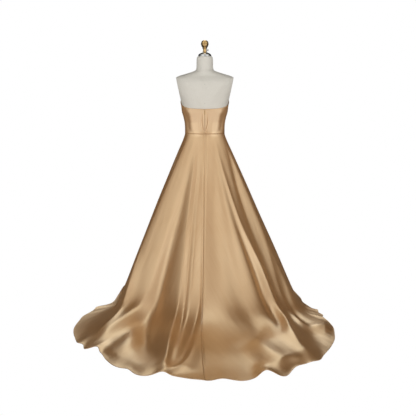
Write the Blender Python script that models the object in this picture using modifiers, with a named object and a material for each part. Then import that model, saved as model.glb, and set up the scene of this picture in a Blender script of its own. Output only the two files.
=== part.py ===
"""A strapless a-line evening gown with a chapel train, worn by a limbless dress form on a stand.

Metres, +Z up. The origin is the centre of the stand's base on the floor, the gown's front
faces -Y and the train runs to +Y. An azimuth is 0 at the centre back and grows towards the
wearer's left, +X, so the side seams are at 90 and -90 and the centre front is at 180.
"""

import math

import bmesh
import bpy
import numpy as np
from mathutils import Vector

# driving sizes
WAIST_HEIGHT = 1.100
CLOTH = 0.002
EASE = 0.0025
SEAM_GAP = 0.0003
FLOOR_GAP = 0.0005
HIP_HEIGHT = 0.840
NECK_TOP = 1.586
SIDE_SEAM = 90.0
CENTRE_FRONT = 180.0

# the dress form's level sections: height, half width, depth behind and before the axis, squareness
FORM_SECTIONS = (
    # height, half_width, back, front, square
    (0.840, 0.158, 0.112, 0.100, 2.2),
    (0.900, 0.168, 0.118, 0.106, 2.2),
    (0.960, 0.163, 0.116, 0.104, 2.2),
    (1.020, 0.146, 0.106, 0.098, 2.2),
    (1.070, 0.128, 0.094, 0.091, 2.2),
    (1.100, 0.1225, 0.090, 0.088, 2.2),
    (1.130, 0.1222, 0.088, 0.088, 2.2),
    (1.165, 0.1244, 0.088, 0.092, 2.2),
    (1.200, 0.1310, 0.091, 0.099, 2.2),
    (1.240, 0.1420, 0.095, 0.108, 2.3),
    (1.280, 0.1470, 0.099, 0.110, 2.4),
    (1.320, 0.1600, 0.102, 0.104, 2.4),
    (1.370, 0.1790, 0.102, 0.092, 2.4),
    (1.420, 0.1900, 0.096, 0.078, 2.4),
    (1.446, 0.1900, 0.084, 0.066, 2.3),
    (1.460, 0.1720, 0.074, 0.058, 2.2),
    (1.474, 0.1280, 0.068, 0.053, 2.1),
    (1.488, 0.0830, 0.064, 0.051, 2.0),
    (1.500, 0.0570, 0.060, 0.049, 2.0),
    (1.520, 0.0530, 0.056, 0.046, 2.0),
    (1.560, 0.0520, 0.049, 0.044, 2.0),
    (1.578, 0.0500, 0.047, 0.043, 2.0),
    (1.586, 0.0430, 0.041, 0.038, 2.0),
)
# the flat armhole plates: half width at two heights, on a straight line between them
ARM_CUT = ((1.300, 0.1510), (1.453, 0.1835))
BUST_HEIGHT, BUST_AZIMUTH, BUST_RISE = 1.262, 152.0, 0.020
BUST_HALF_HEIGHT, BUST_HALF_WIDTH = 0.050, 24.0

# the azimuths of the columns of a bodice back
BODICE_COLUMNS = np.array([0, 2.5, 5, 8, 12, 18, 24, 30, 36, 42, 48, 54, 60, 66, 72, 78, 84, 90.0])

# the bodice's top edge: azimuth from the centre back, height
NECKLINE = ((0, 1.256), (30, 1.259), (60, 1.270), (90, 1.292), (125, 1.328), (155, 1.342), (180, 1.330))
PLACKET_RISE, PLACKET_HALF_WIDTH = 0.0030, 5.0
PLACKET_HOLLOW, PLACKET_HOLLOW_AT = 0.0012, 11.0

# the skirt's plan on each side: azimuth from the centre back, hem radius, radius where its
# slope would meet the floor, softness of the turn onto the floor, height of the train off it
PLAN_LEFT = (
    # azimuth, hem, knee, turn, hover
    (0, 1.335, 0.662, 0.160, 0.020),
    (8, 1.305, 0.660, 0.158, 0.020),
    (15, 1.307, 0.656, 0.150, 0.020),
    (20, 1.265, 0.652, 0.140, 0.019),
    (25, 1.208, 0.646, 0.130, 0.018),
    (29, 1.150, 0.642, 0.122, 0.016),
    (36, 1.135, 0.644, 0.105, 0.014),
    (44, 1.064, 0.660, 0.085, 0.012),
    (50, 1.000, 0.674, 0.068, 0.008),
    (54, 0.945, 0.676, 0.058, 0.006),
    (58, 0.890, 0.650, 0.048, 0.006),
    (62, 0.835, 0.618, 0.040, 0.005),
    (68, 0.750, 0.582, 0.032, 0.005),
    (76, 0.626, 0.568, 0.024, 0.004),
    (82, 0.602, 0.566, 0.020, 0.004),
    (90, 0.590, 0.560, 0.020, 0.004),
    (120, 0.540, 0.535, 0.018, 0.004),
    (150, 0.485, 0.485, 0.016, 0.004),
    (180, 0.460, 0.460, 0.016, 0.004),
)
PLAN_RIGHT = (
    # azimuth, hem, knee, turn, hover
    (0, 1.335, 0.662, 0.160, 0.020),
    (8, 1.346, 0.664, 0.158, 0.020),
    (15, 1.337, 0.668, 0.152, 0.020),
    (21, 1.285, 0.668, 0.144, 0.019),
    (27, 1.247, 0.664, 0.134, 0.018),
    (36, 1.155, 0.648, 0.110, 0.015),
    (46, 1.034, 0.646, 0.086, 0.012),
    (54, 0.925, 0.664, 0.066, 0.006),
    (61, 0.822, 0.672, 0.050, 0.006),
    (66, 0.762, 0.658, 0.044, 0.006),
    (70, 0.712, 0.646, 0.042, 0.006),
    (76, 0.660, 0.626, 0.038, 0.005),
    (83, 0.646, 0.612, 0.034, 0.005),
    (90, 0.630, 0.596, 0.030, 0.005),
    (120, 0.545, 0.540, 0.018, 0.004),
    (150, 0.486, 0.486, 0.016, 0.004),
    (180, 0.460, 0.460, 0.016, 0.004),
)

# the skirt's folds, each a ridge (rise above 0) or a hollow (below 0) that runs down from the
# waist: its azimuth and its rise in millimetres at the fold stations, its half width in degrees
# towards the wearer's left and right, high up and near the hem, and how crisp it is (2 is
# round, 1 is a crease)
FOLD_STATIONS = (0.0, 0.22, 0.42, 0.60, 0.78, 0.92, 1.0)
SKIRT_FOLDS = (
    # azimuths at the stations, rises at the stations in mm, half widths: left, left low, right, right low, crisp
    ((56, 55.5, 53.5, 44.5, 38.5, 36.8, 36.5), (2, 10, 18, 48, 34, 8, 0), 5.0, 9.0, 12.0, 4.0, 1.4),
    ((41, 41, 41, 41.5, 39, 39, 39), (0, 0, 0, -10, -4, 0, 0), 5.0, 4.0, 5.0, 4.0, 2.0),
    ((38, 37, 36, 36.4, 35.5, 34, 36), (0, 2, 8, 24, 18, 6, 0), 8.0, 3.5, 5.0, 3.5, 1.7),
    ((29, 29.5, 29.5, 30, 29.8, 31, 33), (0, 0, -3, -4, -2, 0, 0), 3.0, 2.5, 3.0, 2.5, 2.0),
    ((25, 25, 25, 25, 24, 26, 29), (0, 0, 0, 2, 14, 10, 0), 3.0, 4.0, 3.0, 3.0, 2.0),
    ((24, 26, 28.5, 25.5, 17.5, 12, 9.5), (-1, -12, -25, -36, -32, -12, 0), 6.5, 6.5, 7.0, 5.5, 2.0),
    ((18, 15.3, 12.9, 11.7, 10.4, 9.5, 9.2), (1, 8, 21, 34, 40, 34, 6), 5.5, 7.5, 2.2, 1.8, 1.4),
    ((11.6, 11.5, 10.5, 9.5, 8.9, 8.6, 9), (0, -3, -7, -7, -5, -3, 0), 1.8, 1.0, 1.8, 1.0, 2.0),
    ((5.6, 7.5, 7.8, 8.0, 7.6, 7.4, 7.6), (0, 4, 8, 9, 10, 8, 0), 2.2, 1.5, 2.2, 1.9, 1.9),
    ((2, 1.9, 2.6, 4.6, 5.4, 5.6, 6), (0, -5, -12, -13, -5, -2, 0), 2.2, 1.5, 1.5, 1.5, 1.8),
    ((2, 2, 2.8, 2.6, 3.3, 5.3, 8.5), (0, 0, 0, 3, 17, 20, 4), 1.6, 1.5, 1.8, 2.8, 1.7),
    ((-9, -9, -9, -9, -9, -9, -9), (0, 3, 5, 4, 3, 0, 0), 8.0, 8.0, 8.0, 8.0, 2.0),
    ((-15, -15.3, -17.7, -20.5, -11.5, -12, -12), (0, -4, -6, -2, -8, -8, -2), 6.0, 4.0, 4.5, 3.0, 2.0),
    ((-16, -16, -16, -16, -16.2, -18.6, -24), (0, 0, 0, 2, 22, 28, 4), 3.0, 4.5, 3.0, 4.0, 1.7),
    ((-22, -24.5, -28.5, -27.5, -23.5, -22, -22), (0, 5, 12, 14, 6, 0, 0), 6.0, 5.0, 4.5, 4.0, 2.0),
    ((-23, -28.5, -35.7, -32, -25, -23.5, -24), (0, -4, -10, -8, -3, 0, 0), 3.0, 2.4, 3.0, 2.4, 2.0),
    ((-26.5, -32.5, -40.6, -36.8, -29, -26.6, -26.8), (1, 9, 22, 40, 48, 38, 4), 4.0, 7.0, 4.0, 4.0, 1.3),
    ((-59, -48.5, -51.5, -55, -44, -37, -34), (-1, -12, -16, -12, -16, -6, 0), 6.0, 6.0, 9.0, 6.0, 2.0),
    ((-62, -62, -60, -50, -42, -47, -49), (1, 4, 4, 6, 24, 24, 0), 7.0, 3.0, 6.0, 4.0, 1.8),
    ((-76, -80, -80, -78, -72, -70, -70), (3, 8, 12, 14, 8, 4, 0), 9.0, 9.0, 9.0, 9.0, 2.0),
    ((84, 86, 88, 88, 88, 88, 88), (-3, -9, -12, -12, -8, -4, 0), 7.0, 7.0, 7.0, 7.0, 2.0),
    ((104, 104, 103, 103, 103, 103, 103), (4, 14, 22, 26, 30, 30, 30), 8.0, 8.0, 8.0, 8.0, 1.8),
    ((122, 123, 124, 124, 124, 124, 124), (-3, -12, -22, -26, -28, -29, -30), 8.0, 8.0, 8.0, 8.0, 2.0),
    ((141, 142, 143, 143, 143, 143, 143), (3, 14, 24, 28, 30, 31, 32), 8.0, 8.0, 8.0, 8.0, 1.8),
    ((160, 161, 162, 162, 162, 162, 162), (-3, -11, -20, -24, -26, -27, -28), 8.0, 8.0, 8.0, 8.0, 2.0),
    ((181, 180, 179, 179, 179, 179, 179), (3, 11, 18, 22, 26, 27, 28), 8.0, 8.0, 8.0, 8.0, 1.8),
    ((201, 200, 199, 199, 199, 199, 199), (-3, -12, -22, -26, -28, -29, -30), 8.0, 8.0, 8.0, 8.0, 2.0),
    ((219, 219, 218, 218, 218, 218, 218), (3, 14, 24, 28, 32, 33, 34), 8.0, 8.0, 8.0, 8.0, 1.8),
    ((238, 238, 237, 237, 237, 237, 237), (-3, -12, -22, -26, -26, -27, -28), 8.0, 8.0, 8.0, 8.0, 2.0),
    ((256, 256, 257, 257, 257, 257, 257), (4, 14, 21, 24, 26, 26, 26), 8.0, 8.0, 8.0, 8.0, 1.8),
    ((272, 272, 274, 274, 274, 274, 274), (-3, -11, -16, -18, -12, -4, 0), 7.0, 7.0, 7.0, 7.0, 2.0),
)

# the hem's waves: azimuth, half width in degrees, reach outwards, lift off the floor
HEM_WAVES = (
    # azimuth, half_width, out, lift
    (70.0, 2.0, 0.020, 0.006),
    (64, 1.8, -0.010, 0.004),
    (60, 2.4, 0.006, 0.003),
    (38.5, 1.6, 0.006, 0.006),
    (36.8, 1.6, -0.016, 0.004),
    (33.6, 1.6, 0.022, 0.004),
    (31.4, 1.7, -0.030, 0.016),
    (21.5, 2.6, 0.012, 0.004),
    (17.5, 1.6, -0.016, 0.003),
    (13.2, 2.2, 0.028, 0.004),
    (9.3, 1.6, -0.010, 0.012),
    (3.4, 1.8, 0.004, 0.003),
    (-0.9, 1.3, 0.014, 0.004),
    (-3.9, 1.8, -0.010, 0.006),
    (-7.8, 2.0, 0.018, 0.006),
    (-13.2, 2.2, -0.022, 0.034),
    (-16.6, 2.4, 0.036, 0.004),
    (-21.5, 1.8, -0.006, 0.004),
    (-25.8, 1.3, 0.002, 0.004),
    (-28.0, 2.2, 0.022, 0.004),
    (-42.0, 3.0, 0.004, 0.003),
    (-50.0, 3.0, 0.004, 0.003),
    (-57.4, 1.4, -0.018, 0.008),
    (-60.5, 1.8, 0.008, 0.006),
    (-65.0, 1.5, 0.012, 0.010),
)
HEM_WAVE_LENGTH = 0.16

# the skirt's net: azimuths of the columns of each panel, and shares of the way down of the rows
LEFT_COLUMNS = np.concatenate([np.arange(0.0, 13.1, 1.3), np.arange(15.0, 50.1, 2.2), np.linspace(53.0, 90.0, 9)])
RIGHT_COLUMNS = np.concatenate([np.arange(0.0, 21.9, 2.1), np.arange(23.0, 46.1, 1.5), np.linspace(49.0, 90.0, 9)])
FRONT_COLUMNS = np.linspace(90.0, 270.0, 29)
SKIRT_ROWS = (0, 0.03, 0.08, 0.14, 0.21, 0.28, 0.35, 0.42, 0.48, 0.53, 0.57, 0.61,
              0.65, 0.69, 0.74, 0.79, 0.84, 0.89, 0.93, 0.97, 1.0)
BACK_SEAM_BOW = 1.2

# the stand, cap, finial and zip
POLE_RADIUS = 0.0160
BASE_RADIUS, BASE_THICKNESS = 0.180, 0.012
CAP_PROFILE = ((0.0, 0.0), (0.0415, 0.0), (0.0425, 0.004), (0.0400, 0.011), (0.0300, 0.019),
               (0.0190, 0.0235), (0.0165, 0.0260), (0.0, 0.0260))
FINIAL_PROFILE = ((0.0, 0.0), (0.0125, 0.0), (0.0120, 0.004), (0.0108, 0.012), (0.0112, 0.0185),
                  (0.0150, 0.0205), (0.0152, 0.0235), (0.0135, 0.0255), (0.0185, 0.0320),
                  (0.0225, 0.0400), (0.0238, 0.0470), (0.0250, 0.0490), (0.0238, 0.0510),
                  (0.0230, 0.0580), (0.0200, 0.0660), (0.0140, 0.0710), (0.0060, 0.0732),
                  (0.0, 0.0735))
SCREW_HEAD_RADIUS, SCREW_HEAD_LENGTH = 0.0062, 0.0065
SCREW_SHANK_RADIUS, SCREW_SHANK_LENGTH = 0.0026, 0.0050
SCREW_HEIGHT = 0.0110
SLIDER_DROP = 0.012
SLIDER_SIZE = (0.0046, 0.0016, 0.0080)
BAIL_RADIUS, BAIL_WIRE = 0.0021, 0.00045
PULL_WIDTH, PULL_LENGTH, PULL_THICKNESS = 0.0052, 0.0230, 0.0008


def clear_scene():
    for item in list(bpy.data.objects):
        bpy.data.objects.remove(item, do_unlink=True)


def smooth_table(x, xs, ys):
    """Values between a table's rows, on a smooth curve that doesn't overshoot them."""
    xs, ys, x = np.asarray(xs, float), np.asarray(ys, float), np.asarray(x, float)
    slope = np.diff(ys) / np.diff(xs)
    bend = np.zeros_like(ys)
    same = slope[:-1] * slope[1:] > 0
    bend[1:-1][same] = 2 * slope[:-1][same] * slope[1:][same] / (slope[:-1] + slope[1:])[same]
    k = np.clip(np.searchsorted(xs, x, side="right") - 1, 0, len(xs) - 2)
    step = xs[k + 1] - xs[k]
    t = np.clip((x - xs[k]) / step, 0, 1)
    return (
        (2 * t**3 - 3 * t**2 + 1) * ys[k]
        + (t**3 - 2 * t**2 + t) * step * bend[k]
        + (3 * t**2 - 2 * t**3) * ys[k + 1]
        + (t**3 - t**2) * step * bend[k + 1]
    )


def column(table, index):
    return [row[index] for row in table]


def from_back(azimuth):
    """How far an azimuth is from the centre back, 0 to 180 on either side."""
    return np.abs((np.asarray(azimuth, float) + 180) % 360 - 180)


def around(azimuth, centre):
    """The signed turn from a centre to an azimuth, -180 to 180."""
    return (azimuth - centre + 180) % 360 - 180


def ramp(x, start, end):
    t = np.clip((x - start) / (end - start), 0, 1)
    return t * t * (3 - 2 * t)


# The dress form's surface.


def form_point(azimuth, height):
    """A point of the canvas torso at an azimuth and a height."""
    turn = np.radians(azimuth)
    heights = column(FORM_SECTIONS, 0)
    width, back, front, square = (
        smooth_table(height, heights, column(FORM_SECTIONS, k)) for k in (1, 2, 3, 4)
    )
    depth = np.where(np.cos(turn) > 0, back, front)
    side = np.sign(np.sin(turn)) * np.abs(np.sin(turn)) ** (2 / square)
    ahead = np.sign(np.cos(turn)) * np.abs(np.cos(turn)) ** (2 / square)
    point = np.stack([width * side, depth * ahead, height + 0 * turn], -1)
    level = np.exp(-(((height - BUST_HEIGHT) / BUST_HALF_HEIGHT) ** 2))
    for centre in (BUST_AZIMUTH, -BUST_AZIMUTH):
        cup = BUST_RISE * level * np.exp(-((around(azimuth, centre) / BUST_HALF_WIDTH) ** 2))
        point[..., 0] += cup * np.sin(turn)
        point[..., 1] += cup * np.cos(turn)
    (low, narrow), (high, wide) = ARM_CUT
    cut = narrow + (wide - narrow) * (height - low) / (high - low)
    armhole = np.clip(point[..., 0], -cut, cut)
    point[..., 0] = np.where(height > low, armhole, point[..., 0])
    return point


def outward(surface, a, b, step_a, step_b):
    """The unit normal of a surface function of two arguments."""
    along_a = surface(a + step_a, b) - surface(a - step_a, b)
    along_b = surface(a, b + step_b) - surface(a, b - step_b)
    normal = np.cross(along_a, along_b)
    return normal / np.linalg.norm(normal, axis=-1, keepdims=True)


def form_normal(azimuth, height):
    return -outward(form_point, azimuth, height, 0.5, 0.002)


# The bodice follows the form.


def placket(azimuth, height):
    """The soft lens over the concealed zip, with a hollow on each side of it."""
    top = smooth_table(0.0, column(NECKLINE, 0), column(NECKLINE, 1))
    along = ramp(height, WAIST_HEIGHT + 0.004, WAIST_HEIGHT + 0.05) * (1 - ramp(height, top - 0.045, top - 0.008))
    off = from_back(azimuth)
    lens = PLACKET_RISE * np.exp(-((off / PLACKET_HALF_WIDTH) ** 2))
    hollow = PLACKET_HOLLOW * np.exp(-(((off - PLACKET_HOLLOW_AT) / 4.0) ** 2))
    return along * (lens - 0.5 * hollow)


def bodice_point(azimuth, height, out):
    """A point of the bodice's wall, this far out from the form."""
    rise = out + placket(azimuth, height)
    return form_point(azimuth, height) + form_normal(azimuth, height) * rise[..., None]


def bodice_net(azimuths, rows):
    share = np.linspace(0, 1, rows)[:, None]
    azimuth = np.asarray(azimuths, float)[None, :] + 0 * share
    top = smooth_table(from_back(azimuth), column(NECKLINE, 0), column(NECKLINE, 1))
    height = top + (WAIST_HEIGHT - top) * share
    flat = np.zeros_like(azimuth)
    return bodice_point(azimuth, height, flat + EASE + CLOTH), bodice_point(azimuth, height, flat + EASE)


# The skirt.


def waist_point(azimuth):
    level = np.full(np.shape(azimuth), WAIST_HEIGHT - SEAM_GAP)
    return form_point(azimuth, level) + form_normal(azimuth, level) * (EASE + CLOTH)


def hem_wave(azimuth, index):
    """The sum of the hem's waves at an azimuth: index 2 is their reach, 3 their lift."""
    return sum(row[index] * np.exp(-((around(azimuth, row[0]) / row[1]) ** 2)) for row in HEM_WAVES)


def plan_value(azimuth, index):
    """A column of the skirt's plan, from the table of the side that the azimuth is on."""
    off = from_back(azimuth)
    left, right = (
        smooth_table(off, column(plan, 0), column(plan, index)) for plan in (PLAN_LEFT, PLAN_RIGHT)
    )
    return np.where(around(azimuth, 0) >= 0, left, right)


def skirt_base(azimuth, down):
    """The skirt with no folds: a straight slope, a turn and the train on the floor."""
    turn = np.radians(azimuth)
    hem, knee, softness, hover = (plan_value(azimuth, k) for k in (1, 2, 3, 4))
    waist = waist_point(azimuth)
    total = hem - np.hypot(waist[..., 0], waist[..., 1])
    near_hem = ramp(down, 1 - HEM_WAVE_LENGTH / total, 1.0)
    hem = hem + hem_wave(azimuth, 2) * near_hem
    end = np.stack([hem * np.sin(turn), hem * np.cos(turn)], -1)
    plan = waist[..., :2] + (end - waist[..., :2]) * down[..., None]
    run = down * np.linalg.norm(end - waist[..., :2], axis=-1)
    reach = knee - np.hypot(waist[..., 0], waist[..., 1])
    slope = (WAIST_HEIGHT - SEAM_GAP) * (1 - run / reach)
    floor = (hover + CLOTH) * (1 - ramp(down, 1 - 0.30 / total, 1.0)) + CLOTH + FLOOR_GAP
    floor = floor + hem_wave(azimuth, 3) * near_hem
    height = (slope + floor + np.sqrt((slope - floor) ** 2 + 4 * softness**2)) / 2
    height = height - softness**2 / WAIST_HEIGHT
    height = np.where(down <= 0, WAIST_HEIGHT - SEAM_GAP, height)
    return np.concatenate([plan, height[..., None]], -1)


def fold_rise(azimuth, down):
    """How far the folds stand out from the plain skirt."""
    rise = 0.0
    low = ramp(down, 0.35, 0.80)
    for azimuths, rises, left, left_low, right, right_low, crisp in SKIRT_FOLDS:
        centre = smooth_table(down, FOLD_STATIONS, azimuths)
        depth = smooth_table(down, FOLD_STATIONS, rises) / 1000
        off = around(azimuth, centre)
        width = np.where(off > 0, left + (left_low - left) * low, right + (right_low - right) * low)
        rise = rise + depth * np.exp(-((np.abs(off) / width) ** crisp))
    return rise * ramp(down, 0.0, 0.10)


def skirt_point(azimuth, down):
    """A point on the outside of the skirt, its folds pressed flat where they would go below the floor."""
    base = skirt_base(azimuth, down)
    lift = fold_rise(azimuth, down)
    out = outward(skirt_base, azimuth, down, 0.4, 0.004)
    point = base + out * lift[..., None]
    lowest = CLOTH + FLOOR_GAP
    above = point[..., 2] - lowest
    point[..., 2] = lowest + 0.5 * (above + np.sqrt(above**2 + 0.004**2))
    return point


def seam_azimuth(down):
    """The centre back seam bows a little to the wearer's left on its way to the hem."""
    return BACK_SEAM_BOW * np.sin(np.pi * np.clip(down, 0, 1))


def net_normals(net):
    """Unit normals from the neighbours of each point of a net, for all but its outermost columns."""
    rows = np.gradient(net, axis=0)[:, 1:-1]
    across = net[:, 2:] - net[:, :-2]
    normal = np.cross(across, rows)
    return normal / np.linalg.norm(normal, axis=-1, keepdims=True)


def skirt_net(columns, beyond, side, seam_shift):
    """The outer and inner points of a panel, with a column of each neighbour used for its normals."""
    wide = np.concatenate([[beyond[0]], columns, [beyond[1]]])
    down = np.asarray(SKIRT_ROWS, float)[:, None] + np.zeros((1, len(wide)))
    share = wide[None, :] + 0 * down
    azimuth = side * share
    if seam_shift:
        azimuth = azimuth + seam_azimuth(down) * (1 - np.abs(share) / SIDE_SEAM)
    outer = skirt_point(azimuth, down)
    normal = net_normals(outer) * side
    return outer[:, 1:-1], outer[:, 1:-1] - normal * CLOTH


def part_edges(net, first, last):
    """Moves the two upright edges of a net inwards by half a seam's gap."""
    for edge, beside, wanted in ((0, 1, first), (-1, -2, last)):
        if wanted:
            way = net[:, beside] - net[:, edge]
            way = way / np.linalg.norm(way, axis=-1, keepdims=True)
            net[:, edge] += way * wanted
    return net


# Objects.


def material(name, colour, roughness, metallic):
    made = bpy.data.materials.new(name)
    made.use_nodes = True
    shader = made.node_tree.nodes["Principled BSDF"]
    shader.inputs["Base Color"].default_value = (*colour, 1.0)
    shader.inputs["Roughness"].default_value = roughness
    shader.inputs["Metallic"].default_value = metallic
    return made


def add_object(name, mesh, collection, look):
    item = bpy.data.objects.new(name, mesh)
    collection.objects.link(item)
    mesh.materials.append(look)
    return item


def wall_object(name, outer, inner, collection, look):
    """A cloth wall: a loft over the outer points, one over the inner points, and the rim between."""
    rows, columns = outer.shape[:2]
    shape = bmesh.new()
    faces_of = {}
    for label, points in (("outer", outer), ("inner", inner)):
        faces_of[label] = [[shape.verts.new(Vector(p)) for p in row] for row in points]
    for i in range(rows - 1):
        for j in range(columns - 1):
            falling = np.linalg.norm(outer[i, j] - outer[i + 1, j + 1])
            rising = np.linalg.norm(outer[i + 1, j] - outer[i, j + 1])
            for label, order in (("outer", 1), ("inner", -1)):
                net = faces_of[label]
                corners = [net[i][j], net[i + 1][j], net[i + 1][j + 1], net[i][j + 1]]
                if falling > rising:
                    corners = corners[1:] + corners[:1]
                shape.faces.new((corners[0], corners[1], corners[2])[::order])
                shape.faces.new((corners[0], corners[2], corners[3])[::order])
    shape.edges.ensure_lookup_table()
    rim = [edge for edge in shape.edges if edge.is_boundary]
    bmesh.ops.bridge_loops(shape, edges=rim)
    bmesh.ops.recalc_face_normals(shape, faces=shape.faces)
    mesh = bpy.data.meshes.new(name)
    shape.to_mesh(mesh)
    shape.free()
    mesh.shade_smooth()
    mesh.set_sharp_from_angle(angle=math.radians(50))
    return add_object(name, mesh, collection, look)


def make_bodice(collection, look):
    panels = (
        ("bodice_back_left", BODICE_COLUMNS),
        ("bodice_back_right", -BODICE_COLUMNS),
        ("bodice_front", np.linspace(90, 270, 31)),
    )
    for name, azimuths in panels:
        outer, inner = bodice_net(azimuths, 9)
        half = SEAM_GAP / 2
        wall_object(name, part_edges(outer, half, half), part_edges(inner, half, half), collection, look)


def make_skirt(collection, look):
    half = SEAM_GAP / 2
    next_front = FRONT_COLUMNS[1]
    for name, columns, beyond, side in (
        ("skirt_back_left", LEFT_COLUMNS, (-RIGHT_COLUMNS[1], next_front), 1),
        ("skirt_back_right", RIGHT_COLUMNS, (-LEFT_COLUMNS[1], next_front), -1),
        ("skirt_front", FRONT_COLUMNS, (LEFT_COLUMNS[-2], 360 - RIGHT_COLUMNS[-2]), 1),
    ):
        outer, inner = skirt_net(columns, beyond, side, name != "skirt_front")
        wall_object(name, part_edges(outer, half, half), part_edges(inner, half, half), collection, look)


def make_form(collection, look):
    """The torso: a loft through level sections, closed flat at the hips and at the neck."""
    heights = np.array([0.840, 0.870, 0.910, 0.960, 1.010, 1.050, 1.080, 1.110, 1.140, 1.170, 1.195,
                        1.220, 1.245, 1.270, 1.295, 1.325, 1.360, 1.400, 1.430, 1.450, 1.464, 1.476,
                        1.490, 1.506, 1.525, 1.555, 1.578, 1.586])
    azimuths = np.linspace(0, 360, 61)[:-1]
    shape = bmesh.new()
    rings = []
    for height in heights:
        points = form_point(azimuths, np.full(azimuths.shape, height))
        rings.append([shape.verts.new(Vector(p)) for p in points])
    for low, high in zip(rings, rings[1:]):
        for j in range(len(azimuths)):
            k = (j + 1) % len(azimuths)
            shape.faces.new((low[j], high[j], high[k], low[k]))
    shape.faces.new(rings[0])
    shape.faces.new(rings[-1][::-1])
    bmesh.ops.recalc_face_normals(shape, faces=shape.faces)
    mesh = bpy.data.meshes.new("form_torso")
    shape.to_mesh(mesh)
    shape.free()
    mesh.shade_smooth()
    mesh.set_sharp_from_angle(angle=math.radians(40))
    return add_object("form_torso", mesh, collection, look)


def turned_object(name, profile, base, steps, collection, look):
    """A solid of revolution about +Z from a profile of (radius, height), closed on its axis."""
    shape = bmesh.new()
    verts = [shape.verts.new((radius, 0, height)) for radius, height in profile]
    edges = [shape.edges.new(pair) for pair in zip(verts, verts[1:])]
    bmesh.ops.spin(
        shape, geom=verts + edges, cent=(0, 0, 0), axis=(0, 0, 1), angle=math.tau, steps=steps, use_merge=True
    )
    bmesh.ops.remove_doubles(shape, verts=shape.verts, dist=0.00001)
    bmesh.ops.recalc_face_normals(shape, faces=shape.faces)
    mesh = bpy.data.meshes.new(name)
    shape.to_mesh(mesh)
    shape.free()
    mesh.shade_smooth()
    mesh.set_sharp_from_angle(angle=math.radians(40))
    item = add_object(name, mesh, collection, look)
    item.location = base
    return item


def make_stand(collection, steel, iron):
    hub_height = 0.060
    base_profile = ((0.0, 0.0), (BASE_RADIUS, 0.0), (BASE_RADIUS, BASE_THICKNESS - 0.004),
                    (BASE_RADIUS - 0.004, BASE_THICKNESS), (0.050, BASE_THICKNESS + 0.004),
                    (0.030, BASE_THICKNESS + 0.012), (0.026, hub_height), (0.0, hub_height))
    turned_object("stand_base", base_profile, (0, 0, 0), 48, collection, iron)
    bottom, top = hub_height + SEAM_GAP, HIP_HEIGHT - SEAM_GAP
    bpy.ops.mesh.primitive_cylinder_add(
        vertices=24, radius=POLE_RADIUS, depth=top - bottom, location=(0, 0, (top + bottom) / 2)
    )
    take_object("stand_pole", collection, steel)


def take_object(name, collection, look):
    """Names the object that an operator made, moves it to the collection and gives it a material."""
    item = bpy.context.object
    item.name = item.data.name = name
    for other in list(item.users_collection):
        other.objects.unlink(item)
    collection.objects.link(item)
    item.data.materials.clear()
    item.data.materials.append(look)
    return item


def make_top(collection, chrome, brass, steel):
    """The neck cap, the finial that screws onto the pole's end, and the finial's set screw."""
    cap_base = NECK_TOP + SEAM_GAP
    turned_object("neck_cap", CAP_PROFILE, (0, 0.0015, cap_base), 32, collection, chrome)
    finial_base = cap_base + CAP_PROFILE[-1][1] + SEAM_GAP
    turned_object("finial", FINIAL_PROFILE, (0, 0.0015, finial_base), 32, collection, brass)
    stem = 0.0112
    profile = ((0.0, 0.0), (SCREW_SHANK_RADIUS, 0.0), (SCREW_SHANK_RADIUS, SCREW_SHANK_LENGTH),
               (SCREW_HEAD_RADIUS, SCREW_SHANK_LENGTH), (SCREW_HEAD_RADIUS, SCREW_SHANK_LENGTH + SCREW_HEAD_LENGTH - 0.001),
               (SCREW_HEAD_RADIUS - 0.001, SCREW_SHANK_LENGTH + SCREW_HEAD_LENGTH),
               (0.0, SCREW_SHANK_LENGTH + SCREW_HEAD_LENGTH))
    screw = turned_object(
        "finial_screw", profile, (-stem - SEAM_GAP, 0.0015, finial_base + SCREW_HEIGHT), 12, collection, steel
    )
    screw.rotation_euler = (0, math.radians(-90), 0)


def make_zip(collection, metal):
    """The concealed zip's slider at the top of the centre back, its bail, and the pull tab on the bail."""
    height = smooth_table(0.0, column(NECKLINE, 0), column(NECKLINE, 1)) - SLIDER_DROP
    level = np.array([height - SLIDER_SIZE[2] / 2, height, height + SLIDER_SIZE[2] / 2])
    face = float(bodice_point(np.zeros(3), level, np.full(3, EASE + CLOTH))[:, 1].max()) + SEAM_GAP
    width, depth, length = SLIDER_SIZE
    bpy.ops.mesh.primitive_cube_add(size=1, location=(0, face + depth / 2, float(height)))
    slider = take_object("zip_slider", collection, metal)
    slider.scale = (width, depth, length)
    bpy.context.view_layer.update()
    bpy.ops.object.transform_apply(location=False, rotation=False, scale=True)
    bevel = slider.modifiers.new("edges", "BEVEL")
    bevel.width, bevel.segments = 0.0004, 2
    curve = bpy.data.curves.new("bail_line", "CURVE")
    curve.dimensions = "3D"
    curve.bevel_depth, curve.bevel_resolution, curve.use_fill_caps = BAIL_WIRE, 2, True
    line = curve.splines.new("POLY")
    turns = [math.radians(a) for a in range(-100, 101, 20)]
    line.points.add(len(turns) - 1)
    for point, turn in zip(line.points, turns):
        point.co = (0, BAIL_RADIUS * math.cos(turn), BAIL_RADIUS * math.sin(turn), 1)
    bail = bpy.data.objects.new("bail", curve)
    collection.objects.link(bail)
    bail.location = (0, face + depth, float(height))
    bpy.context.view_layer.update()
    join_curve(slider, bail)
    make_pull(collection, metal, face + depth, float(height))


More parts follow.
